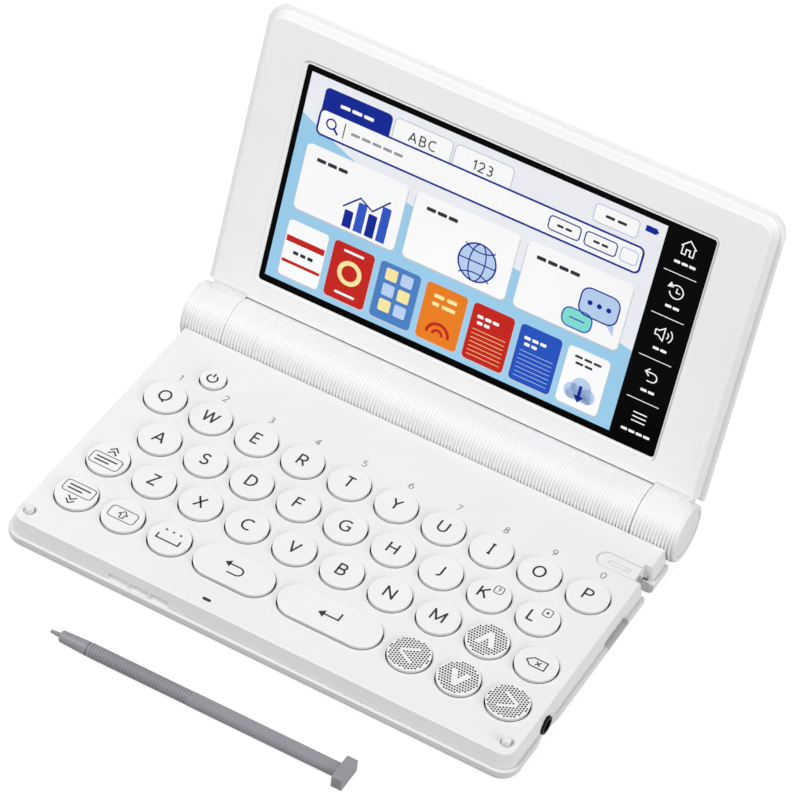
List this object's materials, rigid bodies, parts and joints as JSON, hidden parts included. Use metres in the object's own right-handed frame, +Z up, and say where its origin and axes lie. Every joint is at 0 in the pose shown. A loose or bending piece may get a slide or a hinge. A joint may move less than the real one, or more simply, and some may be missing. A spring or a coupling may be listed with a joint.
{
  "type": "electronic dictionary",
  "caption": "Pocket electronic dictionary: clamshell with round letter keys, a battery barrel as its hinge, a colour screen in the lid and a slim stylus lying in front.",
  "frame": {"origin": "middle of the bottom case's flat underside; the feet reach 0.6 mm below it", "axes": "+X to the user's right along the hinge, +Y to the back, +Z up out of the keyboard deck"},
  "size_m": [0.1492, 0.1501, 0.0947],
  "materials": {
    "white_shell": "satin",
    "ribbed_white": "satin",
    "key_white": "satin",
    "cell_jacket": "satin",
    "spring_steel": "bright",
    "pin_steel": "satin",
    "silicone": "matt",
    "board": "satin",
    "black_plastic": "satin",
    "foot_rubber": "matt",
    "lens": "gloss",
    "screen": "gloss",
    "display_module": "satin",
    "grey_plastic": "satin"
  },
  "bodies": {
    "base": {"bottom_case": "white_shell", "top_case": "white_shell", "battery_housing": "ribbed_white", "battery_cells": "cell_jacket", "battery_contacts": "spring_steel", "hinge_pins": "pin_steel", "keypad_mat": "silicone", "main_board": "board", "headphone_jack": "black_plastic", "card_socket": "pin_steel", "speaker": "black_plastic", "rubber_feet": "foot_rubber", "deck_bumpers": "foot_rubber", "case_screws": "pin_steel", "indicator": "lens"},
    "battery_cover": {"battery_cover": "ribbed_white"},
    "lid": {"lid_bezel": "white_shell", "lid_cover": "white_shell", "screen_glass": "screen", "lcd_panel": "display_module", "hinge_caps": "white_shell"},
    "stylus": {"stylus": "grey_plastic"},
    "key_a": {"key_a": "key_white"},
    "key_b": {"key_b": "key_white"},
    "key_c": {"key_c": "key_white"},
    "key_d": {"key_d": "key_white"},
    "key_e": {"key_e": "key_white"},
    "key_f": {"key_f": "key_white"},
    "key_g": {"key_g": "key_white"},
    "key_h": {"key_h": "key_white"},
    "key_i": {"key_i": "key_white"},
    "key_j": {"key_j": "key_white"},
    "key_k": {"key_k": "key_white"},
    "key_l": {"key_l": "key_white"},
    "key_m": {"key_m": "key_white"},
    "key_n": {"key_n": "key_white"},
    "key_o": {"key_o": "key_white"},
    "key_p": {"key_p": "key_white"},
    "key_q": {"key_q": "key_white"},
    "key_r": {"key_r": "key_white"},
    "key_s": {"key_s": "key_white"},
    "key_t": {"key_t": "key_white"},
    "key_u": {"key_u": "key_white"},
    "key_v": {"key_v": "key_white"},
    "key_w": {"key_w": "key_white"},
    "key_x": {"key_x": "key_white"},
    "key_y": {"key_y": "key_white"},
    "key_z": {"key_z": "key_white"},
    "key_power": {"key_power": "key_white"},
    "key_page_up": {"key_page_up": "key_white"},
    "key_page_down": {"key_page_down": "key_white"},
    "key_shift": {"key_shift": "key_white"},
    "key_space": {"key_space": "key_white"},
    "key_back": {"key_back": "key_white"},
    "key_enter": {"key_enter": "key_white"},
    "key_up": {"key_up": "key_white"},
    "key_down": {"key_down": "key_white"},
    "key_left": {"key_left": "key_white"},
    "key_right": {"key_right": "key_white"},
    "key_delete": {"key_delete": "key_white"}
  },
  "joints": [
    {"name": "lid_hinge", "type": "hinge", "parent": "base", "child": "lid", "pos_m": [0, 0.043, 0.0079], "axis": [1, 0, 0], "range_deg": [-44, 106]},
    {"name": "battery_cover_pull", "type": "slide", "parent": "base", "child": "battery_cover", "axis": [0, 0.4226, -0.9063], "range_m": [0, 0.012]},
    {"name": "stylus_lift", "type": "slide", "parent": "base", "child": "stylus", "axis": [0, 0, 1], "range_m": [0, 0.06]},
    {"name": "key_a_press", "type": "slide", "parent": "base", "child": "key_a", "axis": [0, 0, -1], "range_m": [0, 0.0008], "stiffness_N_per_m": 500},
    {"name": "key_b_press", "type": "slide", "parent": "base", "child": "key_b", "axis": [0, 0, -1], "range_m": [0, 0.0008], "stiffness_N_per_m": 500},
    {"name": "key_c_press", "type": "slide", "parent": "base", "child": "key_c", "axis": [0, 0, -1], "range_m": [0, 0.0008], "stiffness_N_per_m": 500},
    {"name": "key_d_press", "type": "slide", "parent": "base", "child": "key_d", "axis": [0, 0, -1], "range_m": [0, 0.0008], "stiffness_N_per_m": 500},
    {"name": "key_e_press", "type": "slide", "parent": "base", "child": "key_e", "axis": [0, 0, -1], "range_m": [0, 0.0008], "stiffness_N_per_m": 500},
    {"name": "key_f_press", "type": "slide", "parent": "base", "child": "key_f", "axis": [0, 0, -1], "range_m": [0, 0.0008], "stiffness_N_per_m": 500},
    {"name": "key_g_press", "type": "slide", "parent": "base", "child": "key_g", "axis": [0, 0, -1], "range_m": [0, 0.0008], "stiffness_N_per_m": 500},
    {"name": "key_h_press", "type": "slide", "parent": "base", "child": "key_h", "axis": [0, 0, -1], "range_m": [0, 0.0008], "stiffness_N_per_m": 500},
    {"name": "key_i_press", "type": "slide", "parent": "base", "child": "key_i", "axis": [0, 0, -1], "range_m": [0, 0.0008], "stiffness_N_per_m": 500},
    {"name": "key_j_press", "type": "slide", "parent": "base", "child": "key_j", "axis": [0, 0, -1], "range_m": [0, 0.0008], "stiffness_N_per_m": 500},
    {"name": "key_k_press", "type": "slide", "parent": "base", "child": "key_k", "axis": [0, 0, -1], "range_m": [0, 0.0008], "stiffness_N_per_m": 500},
    {"name": "key_l_press", "type": "slide", "parent": "base", "child": "key_l", "axis": [0, 0, -1], "range_m": [0, 0.0008], "stiffness_N_per_m": 500},
    {"name": "key_m_press", "type": "slide", "parent": "base", "child": "key_m", "axis": [0, 0, -1], "range_m": [0, 0.0008], "stiffness_N_per_m": 500},
    {"name": "key_n_press", "type": "slide", "parent": "base", "child": "key_n", "axis": [0, 0, -1], "range_m": [0, 0.0008], "stiffness_N_per_m": 500},
    {"name": "key_o_press", "type": "slide", "parent": "base", "child": "key_o", "axis": [0, 0, -1], "range_m": [0, 0.0008], "stiffness_N_per_m": 500},
    {"name": "key_p_press", "type": "slide", "parent": "base", "child": "key_p", "axis": [0, 0, -1], "range_m": [0, 0.0008], "stiffness_N_per_m": 500},
    {"name": "key_q_press", "type": "slide", "parent": "base", "child": "key_q", "axis": [0, 0, -1], "range_m": [0, 0.0008], "stiffness_N_per_m": 500},
    {"name": "key_r_press", "type": "slide", "parent": "base", "child": "key_r", "axis": [0, 0, -1], "range_m": [0, 0.0008], "stiffness_N_per_m": 500},
    {"name": "key_s_press", "type": "slide", "parent": "base", "child": "key_s", "axis": [0, 0, -1], "range_m": [0, 0.0008], "stiffness_N_per_m": 500},
    {"name": "key_t_press", "type": "slide", "parent": "base", "child": "key_t", "axis": [0, 0, -1], "range_m": [0, 0.0008], "stiffness_N_per_m": 500},
    {"name": "key_u_press", "type": "slide", "parent": "base", "child": "key_u", "axis": [0, 0, -1], "range_m": [0, 0.0008], "stiffness_N_per_m": 500},
    {"name": "key_v_press", "type": "slide", "parent": "base", "child": "key_v", "axis": [0, 0, -1], "range_m": [0, 0.0008], "stiffness_N_per_m": 500},
    {"name": "key_w_press", "type": "slide", "parent": "base", "child": "key_w", "axis": [0, 0, -1], "range_m": [0, 0.0008], "stiffness_N_per_m": 500},
    {"name": "key_x_press", "type": "slide", "parent": "base", "child": "key_x", "axis": [0, 0, -1], "range_m": [0, 0.0008], "stiffness_N_per_m": 500},
    {"name": "key_y_press", "type": "slide", "parent": "base", "child": "key_y", "axis": [0, 0, -1], "range_m": [0, 0.0008], "stiffness_N_per_m": 500},
    {"name": "key_z_press", "type": "slide", "parent": "base", "child": "key_z", "axis": [0, 0, -1], "range_m": [0, 0.0008], "stiffness_N_per_m": 500},
    {"name": "key_power_press", "type": "slide", "parent": "base", "child": "key_power", "axis": [0, 0, -1], "range_m": [0, 0.0008], "stiffness_N_per_m": 500},
    {"name": "key_page_up_press", "type": "slide", "parent": "base", "child": "key_page_up", "axis": [0, 0, -1], "range_m": [0, 0.0008], "stiffness_N_per_m": 500},
    {"name": "key_page_down_press", "type": "slide", "parent": "base", "child": "key_page_down", "axis": [0, 0, -1], "range_m": [0, 0.0008], "stiffness_N_per_m": 500},
    {"name": "key_shift_press", "type": "slide", "parent": "base", "child": "key_shift", "axis": [0, 0, -1], "range_m": [0, 0.0008], "stiffness_N_per_m": 500},
    {"name": "key_space_press", "type": "slide", "parent": "base", "child": "key_space", "axis": [0, 0, -1], "range_m": [0, 0.0008], "stiffness_N_per_m": 500},
    {"name": "key_back_press", "type": "slide", "parent": "base", "child": "key_back", "axis": [0, 0, -1], "range_m": [0, 0.0008], "stiffness_N_per_m": 500},
    {"name": "key_enter_press", "type": "slide", "parent": "base", "child": "key_enter", "axis": [0, 0, -1], "range_m": [0, 0.0008], "stiffness_N_per_m": 500},
    {"name": "key_up_press", "type": "slide", "parent": "base", "child": "key_up", "axis": [0, 0, -1], "range_m": [0, 0.0008], "stiffness_N_per_m": 500},
    {"name": "key_down_press", "type": "slide", "parent": "base", "child": "key_down", "axis": [0, 0, -1], "range_m": [0, 0.0008], "stiffness_N_per_m": 500},
    {"name": "key_left_press", "type": "slide", "parent": "base", "child": "key_left", "axis": [0, 0, -1], "range_m": [0, 0.0008], "stiffness_N_per_m": 500},
    {"name": "key_right_press", "type": "slide", "parent": "base", "child": "key_right", "axis": [0, 0, -1], "range_m": [0, 0.0008], "stiffness_N_per_m": 500},
    {"name": "key_delete_press", "type": "slide", "parent": "base", "child": "key_delete", "axis": [0, 0, -1], "range_m": [0, 0.0008], "stiffness_N_per_m": 500}
  ]
}
